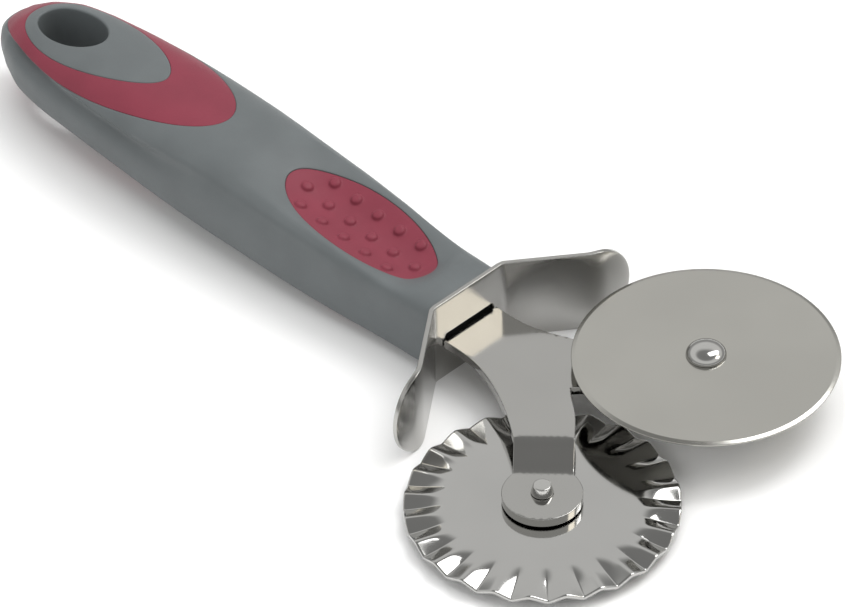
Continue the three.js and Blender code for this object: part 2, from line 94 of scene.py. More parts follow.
# Fork
FORK_SHEET = 2
ARM_ANGLE = math.radians(47.6)
ARM_WIDTH = 12.3
EYE_RADIUS = 8.2
CRANK_CLEAR = 6.3
CRANK_RUN_PER_RISE = 1.65
CRANK_BEND = 0.4
FORK_EDGE_BREAK = 0.16
ARM_OUTER_EDGE = ((8.2, 7.8), (15.5, 9.8), (23.7, 13.8))
ARM_INNER_EDGE = ((35.8, 5.6), (31, 1.8))
CROTCH_X = 29.3
SHOULDER_X = 0.3
SHOULDER_HALF = 7.6
TANG_HALF = 6.4
TANG_LENGTH = 62
TANG_HOLES_X = (-22, -44)
TANG_HOLE_RADIUS = 2.6

# Guard
GUARD_SHEET = 1
GUARD_EDGE_BREAK = 0.14
GUARD_HALF_HEIGHT = 9.88
GUARD_FLAT_HALF = 9.95
GUARD_SWEEP = math.radians(37.5)
GUARD_SWEEP_LENGTH = 19.7
GUARD_FLARE = math.radians(8.5)
GUARD_TIP_LENGTH = 8.5
GUARD_BEND_RADIUS = 1.1
GUARD_FLARE_RADIUS = 9
SLOT_HALF = 6.9
SLOT_TOP = 1.2
SLOT_BOTTOM = -2.4
SLOT_CORNER = 0.5

# Handle: x, half width, half height and height of the middle of each section
HANDLE_SECTIONS = np.array([
    (-1.3, 10.6, 9.3, 0),
    (-16, 11.1, 9.3, 0.15),
    (-30, 12.7, 9.6, 0.75),
    (-47, 14.3, 10.5, 1.6),
    (-62, 15.2, 11.4, 2.4),
    (-78, 15.5, 11.1, 3.1),
    (-93, 15.1, 10.9, 3.7),
    (-107, 14.5, 10.3, 3.95),
    (-120, 13.4, 9.8, 3.75),
    (-128, 11.9, 9.1, 3.6),
    (-134, 9.3, 7.5, 3.5),
    (-138, 6.9, 5.4, 3.4),
    (-140.5, 4.5, 3.4, 3.3),
    (-141.9, 2.2, 1.4, 3.2),
    (-142.3, 0.6, 0.5, 3.2),
])
HANDLE_FRONT = -1.3
HANDLE_BUTT = -142.3
NECK_SQUARENESS = 4.5
BODY_SQUARENESS = 2.6
NECK_FADE = (-62, -16)
THUMB_DISH_DEPTH = 3.5
THUMB_DISH_HALF = 10.2
THUMB_DISH_POWER = 1.1
THUMB_DISH_NEAR = (-15, -6)
THUMB_DISH_FAR = (-64, -40)
FRONT_ROUNDING = 0.6
GRIP_GIRTH_RADIUS = 14

# Egg-shaped plan outlines: from, to, half width, taper
HOLE = (-130.6, -111.5, 6, 0)
RING_OUTER = (-140.1, -72, 13, 0)
RING_INNER = (-133.5, -91.3, 9.7, -0.18)
RING_UNDERSIDE_WIDTH = 0.84
PAD = (-52.3, -11, 8.9, 0)
INLAY_DEPTH = 0.9
POCKET_DEPTH = 1.05
RING_SINK = 0.08
PAD_SINK = 0.2
DOT_PITCH = 6.4
DOT_ROW_SPACING = 5
DOT_FIRST_X = -15.7
DOT_HEIGHT = 0.78

# Shoulder groove along each side of the handle, with a raised lip above it.
# Each pair is a value at the butt, and what is added to it towards the front.
GROOVE_DEPTH = 2.1
GROOVE_LIP = 1.0
GROOVE_WIDTH_ABOVE = (0.9, 1.2)
GROOVE_WIDTH_BELOW = (3.2, 1.6)
GROOVE_LIP_WIDTH = (1.5, 1)
GROOVE_LIP_RISE = (1.5, 1)
GROOVE_FRONT_LOSS = 0.7
GROOVE_ANGLE = math.radians(18.6)
GROOVE_BUTT_RISE = math.radians(15)
GROOVE_FRONT_RISE = math.radians(5)
GROOVE_BUTT_FADE = (-134, -108)
GROOVE_FRONT_FADE = (-92, -62)
GROOVE_NECK_END = (-40, -20)
GROOVE_BUTT_END = (-137, -127)

# How finely the handle's surface is drawn
RING_OUTER_POINTS = 200
RING_INNER_POINTS = 150
PAD_POINTS = 120
HOLE_POINTS = 96
DOT_POINTS = 20
LENGTH_STATIONS = 170
LENGTH_CROWDING = 1.25
GIRTH_POINTS = 144
INLAY_SPACING = 0.9

# How finely the steel is drawn: points on round pieces, and spacing on sheets and their edges
PLAIN_WHEEL_POINTS = 240
SMALL_ROUND_POINTS = 96
FLUTE_POINTS = 24
BEND_STEPS = 24
FORK_SPACING = 1.0
FORK_EDGE_SPACING = 1.5
GUARD_SPACING = 0.75
GUARD_EDGE_SPACING = 0.8


def smoothstep(low, high, value):
    t = np.clip((value - low) / (high - low), 0, 1)
    return t * t * (3 - 2 * t)


# ---------------------------------------------------------------- where the design frame lies

guard_low, guard_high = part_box("finger_guard")
fork_low, fork_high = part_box("fork")
ORIGIN = np.array([
    guard_low.x + GUARD_SHEET * MM,
    (guard_low.y + guard_high.y) / 2,
    fork_high.z - PLAIN_CRANK * MM,
])

# ---------------------------------------------------------------- camera

CAMERA_AZIMUTH = math.radians(46.46)
CAMERA_ELEVATION = math.radians(40.29)
CAMERA_ROLL = math.radians(-1.81)
CAMERA_DISTANCE = 1.1104
CAMERA_LENS = 229.6
CAMERA_AIM = Vector(ORIGIN + np.array([-8.57, -4.98, 3.28]) * MM)


def add_camera():
    back = Vector((
        math.sin(CAMERA_AZIMUTH) * math.cos(CAMERA_ELEVATION),
        -math.cos(CAMERA_AZIMUTH) * math.cos(CAMERA_ELEVATION),
        math.sin(CAMERA_ELEVATION),
    ))
    data = bpy.data.cameras.new("camera")
    data.lens = CAMERA_LENS
    camera = bpy.data.objects.new("camera", data)
    camera.location = CAMERA_AIM + back * CAMERA_DISTANCE
    camera.rotation_mode = "QUATERNION"
    roll = Quaternion((0, 0, 1), CAMERA_ROLL)
    camera.rotation_quaternion = (-back).to_track_quat("-Z", "Y") @ roll
    bpy.context.scene.collection.objects.link(camera)
    bpy.context.scene.camera = camera


add_camera()

# ---------------------------------------------------------------- materials


class Nodes:
    """A short way to write a material's node tree."""

    def __init__(self, name):
        self.material = bpy.data.materials.new(name)
        self.material.use_nodes = True
        self.tree = self.material.node_tree
        self.shader = self.tree.nodes["Principled BSDF"]

    def add(self, kind, inputs=None, **settings):
        made = self.tree.nodes.new(kind)
        for key, value in settings.items():
            setattr(made, key, value)
        for key, value in (inputs or {}).items():
            if isinstance(value, bpy.types.NodeSocket):
                self.tree.links.new(value, made.inputs[key])
            else:
                made.inputs[key].default_value = value
        return made

    def link(self, source, socket):
        self.tree.links.new(source, self.shader.inputs[socket])

    def position(self):
        return self.add("ShaderNodeTexCoord").outputs["Object"]

    def noise(self, scale, detail=2.0, roughness=0.5, vector=None):
        vector = vector or self.position()
        inputs = {"Vector": vector, "Scale": scale, "Detail": detail, "Roughness": roughness}
        return self.add("ShaderNodeTexNoise", inputs).outputs["Fac"]

    def spread(self, value, low, high):
        """A noise value, stretched to run from low to high."""
        inputs = {"Value": value, "From Min": 0.3, "From Max": 0.7, "To Min": low, "To Max": high}
        return self.add("ShaderNodeMapRange", inputs).outputs["Result"]

    def shades(self, value, dark, light):
        ramp = self.add("ShaderNodeValToRGB", {"Fac": value})
        ramp.color_ramp.elements[0].position = 0.3
        ramp.color_ramp.elements[1].position = 0.7
        ramp.color_ramp.elements[0].color = (*dark, 1)
        ramp.color_ramp.elements[1].color = (*light, 1)
        return ramp.outputs["Color"]

    def bump(self, height, distance, strength=1.0, normal=None):
        inputs = {"Height": height, "Distance": distance, "Strength": strength}
        if normal:
            inputs["Normal"] = normal
        return self.add("ShaderNodeBump", inputs).outputs["Normal"]


def scaled(colour, factor):
    return tuple(channel * factor for channel in colour)


def moulded(name, colour, roughness, grain, shine=0.4, sheen=0.0):
    """A moulded plastic or rubber with a fine spark-eroded grain."""
    nodes = Nodes(name)
    mottle = nodes.noise(90, detail=4)
    nodes.link(nodes.shades(mottle, scaled(colour, 0.93), scaled(colour, 1.07)), "Base Color")
    fine = nodes.noise(3200, detail=3, roughness=0.6)
    nodes.link(nodes.spread(fine, roughness - 0.05, roughness + 0.05), "Roughness")
    nodes.link(nodes.bump(fine, grain), "Normal")
    nodes.shader.inputs["Specular IOR Level"].default_value = shine
    nodes.shader.inputs["Sheen Weight"].default_value = sheen
    return nodes.material


def steel(name, colour, roughness, axle=None):
    """Rolled stainless sheet. With an axle, its fine marks are turned round that point."""
    nodes = Nodes(name)
    position = nodes.position()
    cloud = nodes.noise(45, detail=3, vector=position)
    nodes.link(nodes.shades(cloud, scaled(colour, 0.97), scaled(colour, 1.03)), "Base Color")
    nodes.shader.inputs["Metallic"].default_value = 1.0
    if axle is None:
        stretch = nodes.add("ShaderNodeMapping", {"Vector": position, "Scale": (60, 1400, 60)})
        marks = nodes.noise(1, detail=3, vector=stretch.outputs["Vector"])
    else:
        inputs = {0: position, 1: axle}
        radius = nodes.add("ShaderNodeVectorMath", inputs, operation="DISTANCE").outputs["Value"]
        inputs = {"W": radius, "Scale": 5200.0, "Detail": 2.0}
        marks = nodes.add("ShaderNodeTexNoise", inputs, noise_dimensions="1D").outputs["Fac"]
    nodes.link(nodes.spread(marks, roughness * 0.95, roughness * 1.05), "Roughness")
    nodes.link(nodes.bump(marks, 0.0000005, 0.15), "Normal")
    return nodes.material


GREY = (0.108, 0.120, 0.124)
BURGUNDY = (0.192, 0.0285, 0.048)
STEEL = (0.45, 0.445, 0.43)

plain_axle = tuple(ORIGIN + np.array([AXLE_X, AXLE_Y, 3]) * MM)
grip_plastic = moulded("grip_plastic_fine", GREY, 0.5, 0.00002)
core_plastic = moulded("core_plastic_fine", (0.03, 0.032, 0.034), 0.5, 0.00002)
inlay_rubber = moulded("inlay_rubber_fine", BURGUNDY, 0.52, 0.000025, shine=0.28, sheen=0.06)
fork_steel = steel("fork_steel_fine", STEEL, 0.11)
guard_steel = steel("guard_steel_fine", STEEL, 0.22)
fluted_steel = steel("fluted_steel_fine", (0.495, 0.492, 0.48), 0.09)
plain_steel = steel("plain_steel_fine", (0.49, 0.482, 0.45), 0.2, axle=plain_axle)
rivet_steel = steel("rivet_steel_fine", (0.55, 0.545, 0.53), 0.1)

# ---------------------------------------------------------------- mesh helpers


def add_piece(name, vertices, faces, material, body, node, sharp=35, weighted=False):
    """Makes a piece from points in millimetres, and lets it stand for a CAD node."""
    mesh = bpy.data.meshes.new(name)
    placed = np.asarray(vertices, float) * MM + ORIGIN
    mesh.from_pydata(placed.tolist(), [], [tuple(face) for face in faces])
    shape = bmesh.new()
    shape.from_mesh(mesh)
    bmesh.ops.remove_doubles(shape, verts=shape.verts, dist=2e-6)
    bmesh.ops.dissolve_degenerate(shape, edges=shape.edges, dist=1e-6)
    bmesh.ops.recalc_face_normals(shape, faces=shape.faces)
    shape.to_mesh(mesh)
    shape.free()
    mesh.shade_smooth()
    mesh.set_sharp_from_angle(angle=math.radians(sharp))
    mesh.materials.append(material)
    piece = bpy.data.objects.new(name, mesh)
    bpy.context.scene.collection.objects.link(piece)
    if weighted:
        modifier = piece.modifiers.new("flat_faces", "WEIGHTED_NORMAL")
        modifier.keep_sharp = True
        modifier.weight = 100
    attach(piece, body)
    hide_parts(node)
    return piece


def strips(rings, closed_across=False):
    """Vertices and faces that join a list of rings, which have the same number of points."""
    count = len(rings[0])
    faces = []
    total = len(rings)
    for ring in range(total if closed_across else total - 1):
        here, there = ring * count, ((ring + 1) % total) * count
        for index in range(count):
            after = (index + 1) % count
            faces.append((here + index, here + after, there + after, there + index))
    return np.concatenate(rings), faces


def joined(*parts):
    """Several (vertices, faces) as one."""
    vertices, faces = [], []
    start = 0
    for part_vertices, part_faces in parts:
        vertices.append(part_vertices)
        faces += [tuple(start + index for index in face) for face in part_faces]
        start += len(part_vertices)
    return np.concatenate(vertices), faces


def circle(x, y, radius, count, clockwise=False):
    angle = np.arange(count) / count * TURN * (-1 if clockwise else 1)
    return np.stack([x + radius * np.cos(angle), y + radius * np.sin(angle)], 1)


def spline(points, span, u):
    """A uniform Catmull-Rom curve through points, at the share u of each span."""
    ends = np.concatenate([points[:1], points, points[-1:]])
    p0, p1, p2, p3 = (ends[span + k] for k in range(4))
    start, end = (p2 - p0) / 2, (p3 - p1) / 2
    return (
        (2 * p1 - 2 * p2 + start + end) * u**3
        + (-3 * p1 + 3 * p2 - 2 * start - end) * u**2
        + start * u
        + p1
    )


def curve(points, count):
    """count + 1 points, evenly spread over the spans of a spline."""
    points = np.asarray(points, float)
    t = np.linspace(0, len(points) - 1, count + 1)
    span = np.minimum(t.astype(int), len(points) - 2)
    return spline(points, span, (t - span)[:, None])


def rounded(points, radius, steps=4, closed=True):
    """A polyline with its corners turned into arcs."""
    points = np.asarray(points, float)
    out = []
    count = len(points)
    for index, corner in enumerate(points):
        if not closed and index in (0, count - 1):
            out.append(corner)
            continue
        before = points[index - 1] - corner
        after = points[(index + 1) % count] - corner
        reach = min(radius, 0.45 * np.linalg.norm(before), 0.45 * np.linalg.norm(after))
        start = corner + before / np.linalg.norm(before) * reach
        end = corner + after / np.linalg.norm(after) * reach
        for t in np.linspace(0, 1, steps + 1):
            out.append((1 - t) ** 2 * start + 2 * t * (1 - t) * corner + t**2 * end)
    return np.array(out)


def densified(loop, spacing):
    """A closed loop with extra points on its long edges."""
    out = []
    for here, there in zip(loop, np.roll(loop, -1, 0)):
        steps = max(1, int(np.linalg.norm(there - here) / spacing))
        out += [here + (there - here) * k / steps for k in range(steps)]
    return np.array(out)


def moved_in(loop, distance):
    """A loop moved to its left, which is into the sheet."""
    heading = np.roll(loop, -1, 0) - np.roll(loop, 1, 0)
    heading /= np.linalg.norm(heading, axis=1)[:, None]
    return loop + np.stack([-heading[:, 1], heading[:, 0]], 1) * distance


def inside(points, loop):
    """Whether each point lies inside a closed loop."""
    x, y = points[:, 0][:, None], points[:, 1][:, None]
    x1, y1 = loop[:, 0], loop[:, 1]
    x2, y2 = np.roll(x1, -1), np.roll(y1, -1)
    crosses = (y1 > y) != (y2 > y)
    with np.errstate(divide="ignore", invalid="ignore"):
        hit = x < (x2 - x1) * (y - y1) / (y2 - y1) + x1
    return (crosses & hit).sum(1) % 2 == 1


def clear_of(points, loops, distance):
    """The points that keep a distance from every loop's points."""
    near = np.concatenate(loops)
    keep = np.ones(len(points), bool)
    for start in range(0, len(points), 2000):
        block = points[start:start + 2000]
        gap = np.linalg.norm(block[:, None, :] - near[None, :, :], axis=2).min(1)
        keep[start:start + 2000] = gap > distance
    return points[keep]


def triangulated(loops, points, keep):
    """Points and triangles over closed loops and loose points. keep() picks triangles by centre."""
    coords = np.concatenate([*loops, points]) if len(points) else np.concatenate(loops)
    edges = []
    start = 0
    for loop in loops:
        count = len(loop)
        edges += [(start + index, start + (index + 1) % count) for index in range(count)]
        start += count
    made = delaunay_2d_cdt([Vector(point) for point in coords], edges, [], 0, 1e-7)
    flat = np.array([tuple(point) for point in made[0]])
    faces = np.array([face for face in made[2] if len(face) == 3])
    centres = flat[faces].mean(1)
    return flat, faces[keep(centres)]


def plate(loops, rim, spacing, place, extra_loops=()):
    """A closed sheet on plan loops, the outer one anticlockwise and the holes clockwise.

    rim lists (inset, depth) from its top edge to its bottom edge, and place(points, depth)
    puts plan points on the bent sheet.
    """
    inner = [moved_in(loop, rim[0][0]) for loop in loops]
    low, high = inner[0].min(0), inner[0].max(0)
    grid_x = np.arange(low[0], high[0], spacing)
    grid_y = np.arange(low[1], high[1], spacing)
    grid = np.stack(np.meshgrid(grid_x, grid_y), 2).reshape(-1, 2)

    def on_sheet(points):
        covered = inside(points, inner[0])
        for hole in inner[1:]:
            covered &= ~inside(points, hole)
        return covered

    grid = clear_of(grid[on_sheet(grid)], [*inner, *extra_loops], spacing * 0.6)
    flat, faces = triangulated([*inner, *extra_loops], grid, on_sheet)
    top = (place(flat, rim[0][1]), faces.tolist())
    bottom = (place(flat, rim[-1][1]), faces[:, ::-1].tolist())
    walls = []
    for loop in loops:
        rings = [place(moved_in(loop, inset), depth) for inset, depth in rim]
        if rim[-1][0] != rim[0][0]:
            rings.append(place(moved_in(loop, rim[0][0]), rim[-1][1]))
        walls.append(strips(rings))
    return joined(top, bottom, *walls)


def sheet_rim(thickness, rounding):
    """The rim of a sheet whose edges are broken by a small radius."""
    turn = [math.radians(angle) for angle in (90, 60, 30, 0)]
    upper = [(rounding * (1 - math.cos(a)), rounding * (1 - math.sin(a))) for a in turn]
    return upper + [(inset, thickness - depth) for inset, depth in reversed(upper)]


def turned(profile, count, x, y, closed):
    """A ring or a solid turned about an upright axle from (radius, height) points."""
    angle = np.arange(count) / count * TURN
    rings = []
    for radius, height in profile:
        rings.append(np.stack([
            x + radius * np.cos(angle),
            y + radius * np.sin(angle),
            np.full(count, float(height)),
        ], 1))
    return strips(rings, closed_across=closed)


# ---------------------------------------------------------------- handle surface

section_x = HANDLE_SECTIONS[:, 0]


def handle_section(x):
    """Half width, half height and middle height of the handle at x."""
    x = np.clip(x, HANDLE_BUTT, HANDLE_FRONT)
    index = np.clip(np.searchsorted(-section_x, -x, side="right") - 1, 0, len(section_x) - 2)
    u = ((section_x[index] - x) / (section_x[index] - section_x[index + 1]))[..., None]
    value = spline(HANDLE_SECTIONS[:, 1:], index, u)
    return value[..., 0], value[..., 1], value[..., 2]


def squareness(x):
    return BODY_SQUARENESS + (NECK_SQUARENESS - BODY_SQUARENESS) * smoothstep(*NECK_FADE, x)


def handle_point(x, angle):
    """The outer surface at x, in the direction `angle` from the middle: 0 is +Y and 90° is up."""
    half_width, half_height, middle = handle_section(x)
    power = squareness(x)
    across = np.abs(np.cos(angle)) / half_width
    up = np.abs(np.sin(angle)) / half_height
    reach = (across**power + up**power) ** (-1 / power)
    y = reach * np.cos(angle)
    share = np.minimum(np.abs(y) / THUMB_DISH_HALF, 1)
    along = (1 - smoothstep(*THUMB_DISH_NEAR, x)) * smoothstep(*THUMB_DISH_FAR, x)
    dish = THUMB_DISH_DEPTH * along * (1 - share**2) ** THUMB_DISH_POWER
    z = middle + reach * np.sin(angle) - np.where(np.sin(angle) > 0, dish, 0)
    return np.stack([x, y, z], -1)


def handle_normal(x, angle):
    step = 0.01
    along = handle_point(x + step, angle) - handle_point(x - step, angle)
    around = handle_point(x, angle + step) - handle_point(x, angle - step)
    normal = np.cross(around, along)
    normal /= np.linalg.norm(normal, axis=-1)[..., None]
    outward = handle_point(x, angle) - np.stack([x, 0 * x, handle_section(x)[2]], -1)
    return normal * np.sign((normal * outward).sum(-1))[..., None]


def direction_at(x, y, side):
    """The direction from the middle in which the surface has the plan point (x, y)."""
    half_width, half_height, _ = handle_section(x)
    power = squareness(x)
    share = np.minimum(np.abs(y) / half_width, 0.999)
    rise = half_height * (1 - share**power) ** (1 / power)
    return np.arctan2(side * rise, y) % TURN


def on_map(plan, side):
    """Plan points of the handle as points of its map: x, and distance round a mean girth."""
    angle = direction_at(plan[:, 0], plan[:, 1], side)
    return np.stack([plan[:, 0], angle * GRIP_GIRTH_RADIUS], 1)


def egg_loop(egg, grow, count):
    start, end, half_width, taper = egg
    angle = np.arange(count) / count * TURN
    along = (end - start) / 2 + grow
    return np.stack([
        (start + end) / 2 + along * np.cos(angle),
        (half_width + grow) * np.sin(angle) * (1 + taper * np.cos(angle)),
    ], 1)


def ring_eggs(side):
    """The outlines of a ring inlay, which is narrower on the underside."""
    width = 1 if side > 0 else RING_UNDERSIDE_WIDTH
    eggs = (RING_OUTER, RING_INNER)
    return [(start, end, half * width, taper) for start, end, half, taper in eggs]


def egg_distance(egg, x, y):
    """About how far a plan point lies outside an egg outline."""
    start, end, half_width, taper = egg
    half = (end - start) / 2
    u = (x - (start + end) / 2) / half
    width = half_width * (1 + taper * np.clip(u, -1, 1))
    v = y / width
    size = np.sqrt(u**2 + v**2) + 1e-9
    slope = np.sqrt((u / half) ** 2 + (v / width) ** 2) / size
    return (size - 1) / slope


# How the grip's surface falls into a pocket: distance outside the outline, and depth
POCKET_RIM = ((0.01, POCKET_DEPTH), (0.03, 0.14), (0.09, 0.07), (0.2, 0.02), (0.4, 0))
# How it rounds into the hang hole: distance outside the hole, and depth
HOLE_RIM = ((-0.12, 0.6), (-0.06, 0.38), (0.05, 0.2), (0.2, 0.08), (0.35, 0.02), (0.55, 0))


def rim_depth(distance, rim):
    gaps, depths = zip(*rim)
    return np.interp(distance, gaps, depths)


def groove_depth(x, angle):
    """The crease under the handle's shoulder: steep above, fading down the side."""
    from_side = np.arcsin(np.clip(np.sin(angle), -1, 1))
    butt = 1 - smoothstep(*GROOVE_BUTT_FADE, x)
    front = smoothstep(*GROOVE_FRONT_FADE, x)
    line = GROOVE_ANGLE + GROOVE_BUTT_RISE * butt + GROOVE_FRONT_RISE * front
    above = (from_side - line) * GRIP_GIRTH_RADIUS

    def widened(pair):
        return pair[0] + pair[1] * front

    upper = np.exp(-((above / widened(GROOVE_WIDTH_ABOVE)) ** 2))
    lower = np.exp(-((above / widened(GROOVE_WIDTH_BELOW)) ** 2))
    from_lip = above - widened(GROOVE_LIP_RISE)
    lip = np.exp(-((from_lip / widened(GROOVE_LIP_WIDTH)) ** 2))
    fade = 1 - GROOVE_FRONT_LOSS * front
    fade = fade * (1 - smoothstep(*GROOVE_NECK_END, x)) * smoothstep(*GROOVE_BUTT_END, x)
    return (GROOVE_DEPTH * np.where(above > 0, upper, lower) - GROOVE_LIP * lip) * fade


def grip_depth(x, angle, y):
    """How far the grip lies below the handle's plain outer surface."""
    depth = groove_depth(x, angle)
    rings = []
    for side in (1, -1):
        outer, inner = ring_eggs(side)
        rings.append(np.maximum(egg_distance(outer, x, y), -egg_distance(inner, x, y)))
    for pocket in (np.where(np.sin(angle) > 0, *rings), egg_distance(PAD, x, y)):
        depth = np.maximum(depth, rim_depth(pocket, POCKET_RIM))
    front = np.clip(FRONT_ROUNDING - (HANDLE_FRONT - x), 0, FRONT_ROUNDING)
    return depth + FRONT_ROUNDING - np.sqrt(FRONT_ROUNDING**2 - front**2)


def grip_surface(flat):
    x, angle = flat[:, 0], flat[:, 1] / GRIP_GIRTH_RADIUS
    point = handle_point(x, angle)
    depth = grip_depth(x, angle, point[:, 1])
    point = point - handle_normal(x, angle) * depth[:, None]
    lip = rim_depth(egg_distance(HOLE, x, handle_point(x, angle)[:, 1]), HOLE_RIM)
    point[:, 2] -= np.sign(np.sin(angle)) * lip
    return point


def make_grip():
    loops = []
    hole_loops = {}
    for side in (1, -1):
        outer, inner = ring_eggs(side)
        for gap, _ in POCKET_RIM:
            loops.append(on_map(egg_loop(outer, gap, RING_OUTER_POINTS), side))
            loops.append(on_map(egg_loop(inner, -gap, RING_INNER_POINTS), side))
            loops.append(on_map(egg_loop(PAD, gap, PAD_POINTS), side))
        for gap, _ in HOLE_RIM:
            loops.append(on_map(egg_loop(HOLE, gap, HOLE_POINTS), side))
        hole_loops[side] = on_map(egg_loop(HOLE, HOLE_RIM[0][0], HOLE_POINTS), side)

    # Stations crowd towards the butt, and again over the rounding at the front
    shares = np.arange(LENGTH_STATIONS) / (LENGTH_STATIONS - 1)
    body_length = HANDLE_FRONT - FRONT_ROUNDING - HANDLE_BUTT
    body_x = HANDLE_BUTT + body_length * shares**LENGTH_CROWDING
    front_x = HANDLE_FRONT - FRONT_ROUNDING * (1 - np.array([0.3, 0.6, 0.85, 1.0]))
    around = np.arange(GIRTH_POINTS + 1) / GIRTH_POINTS * TURN * GRIP_GIRTH_RADIUS
    stations = np.concatenate([body_x, front_x])
    grid = np.stack(np.meshgrid(stations, around), 2).reshape(-1, 2)
    edge = (grid[:, 1] < 0.01) | (grid[:, 1] > around[-1] - 0.01)
    grid = np.concatenate([grid[edge], clear_of(grid[~edge], loops, 0.3)])

    def keep(centres):
        return ~inside(centres, hole_loops[1]) & ~inside(centres, hole_loops[-1])

    flat, faces = triangulated(loops, grid, keep)
    skin = (grip_surface(flat), faces.tolist())

    # The wall of the hang hole
    top, bottom = (grip_surface(hole_loops[side]) for side in (1, -1))
    shares = np.linspace(0, 1, 16)
    wall = strips([top * (1 - share) + bottom * share for share in shares])

    # The two ends
    ends = []
    for x, bulge in ((HANDLE_BUTT, -0.2), (HANDLE_FRONT, 0)):
        ring = grip_surface(np.stack([np.full(GIRTH_POINTS, float(x)), around[:-1]], 1))
        middle = ring.mean(0)
        inner = middle + (ring - middle) * 0.6 + (bulge * 0.7, 0, 0)
        centre = np.tile(middle + (bulge, 0, 0), (GIRTH_POINTS, 1))
        ends.append(strips([ring, inner, centre]))
    vertices, faces = joined(skin, wall, *ends)
    add_piece(
        "grip_shell", vertices, faces, grip_plastic, "frame", "handle_grip",
        sharp=50,
    )


def dot_centres():
    centres = []
    for row in (-1, 0, 1):
        count = 6 if row == 0 else 5
        shift = 0 if row == 0 else 0.5
        for index in range(count):
            centres.append((DOT_FIRST_X - (index + shift) * DOT_PITCH, row * DOT_ROW_SPACING))
    return np.array(centres)


# How a dot rises from the pad: distance from its middle, and height as a share
DOT_SHAPE = ((0, 1), (0.6, 0.98), (0.95, 0.86), (1.15, 0.6), (1.28, 0.25), (1.42, 0.06), (1.65, 0))
INLAY_RIM = ((0.3, 0), (0.12, 0.01), (0.04, 0.03), (0.01, 0.07), (0.01, INLAY_DEPTH))


def inlay_place(sink, dots):
    """Lays an inlay's map on the handle, sunk a little, with its dots raised."""

    def place(flat, depth):
        x, angle = flat[:, 0], flat[:, 1] / GRIP_GIRTH_RADIUS
        point = handle_point(x, angle)
        drop = np.full(len(x), float(depth))
        if depth < INLAY_DEPTH:
            drop += sink
            for centre in dots:
                gap = np.hypot(x - centre[0], point[:, 1] - centre[1])
                drop -= DOT_HEIGHT * rim_depth(gap, DOT_SHAPE)
        return point - handle_normal(x, angle) * drop[:, None]

    return place


def anticlockwise(loop):
    x, y = loop[:, 0], loop[:, 1]
    area = (x * np.roll(y, -1) - np.roll(x, -1) * y).sum()
    return loop if area > 0 else loop[::-1]


def make_inlays():
    for side, place_name in ((1, "top"), (-1, "bottom")):
        outer, inner = ring_eggs(side)
        loops = [
            anticlockwise(on_map(egg_loop(outer, 0, RING_OUTER_POINTS), side)),
            anticlockwise(on_map(egg_loop(inner, 0, RING_INNER_POINTS), side))[::-1],
        ]
        place = inlay_place(RING_SINK, ())
        vertices, faces = plate(loops, INLAY_RIM, INLAY_SPACING, place)
        add_piece(
            f"ring_{place_name}", vertices, faces, inlay_rubber, "frame",
            f"ring_inlay_{place_name}", sharp=60,
        )

        loops = [anticlockwise(on_map(egg_loop(PAD, 0, PAD_POINTS), side))]
        rings = []
        for centre in dot_centres():
            for radius, _ in DOT_SHAPE[1:]:
                rings.append(on_map(circle(*centre, radius, DOT_POINTS), side))
        place = inlay_place(PAD_SINK, dot_centres())
        vertices, faces = plate(loops, INLAY_RIM, INLAY_SPACING, place, rings)
        node = "thumb_pad" if side > 0 else "finger_pad"
        add_piece(
            f"{node}_dotted", vertices, faces, inlay_rubber, "frame", node,
            sharp=60,
        )


make_grip()
make_inlays()
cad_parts["handle_core"].data.materials.clear()
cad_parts["handle_core"].data.materials.append(core_plastic)

# ---------------------------------------------------------------- fork


def arm_point(back, outward):
    return (
        AXLE_X - back * math.cos(ARM_ANGLE) - outward * math.sin(ARM_ANGLE),
        AXLE_Y - back * math.sin(ARM_ANGLE) + outward * math.cos(ARM_ANGLE),
    )


def fork_half_outline():
    """One arm's edge, from the shoulder round the eye to the crotch."""
    arm_half = ARM_WIDTH / 2
    neck = math.sqrt(EYE_RADIUS**2 - arm_half**2)
    crank = CRANK_CLEAR - FLUTED_CRANK * CRANK_RUN_PER_RISE
    shoulder = (SHOULDER_X, SHOULDER_HALF)
    outer = curve([shoulder, *ARM_OUTER_EDGE, arm_point(crank, arm_half)], 48)
    start = math.atan2(arm_half, -neck) + ARM_ANGLE
    angle = np.linspace(start, 2 * ARM_ANGLE - start, 72)
    eye = np.stack([AXLE_X + EYE_RADIUS * np.cos(angle), AXLE_Y + EYE_RADIUS * np.sin(angle)], 1)
    inner = curve([arm_point(crank, -arm_half), *ARM_INNER_EDGE, (CROTCH_X, 0)], 36)
    return np.concatenate([outer, eye, inner])


def soft_ramp(distance):
    """0 before 0 and the distance after it, with a rounded corner."""
    soft = (distance + CRANK_BEND) ** 2 / (4 * CRANK_BEND)
    return np.where(distance < -CRANK_BEND, 0, np.where(distance > CRANK_BEND, distance, soft))


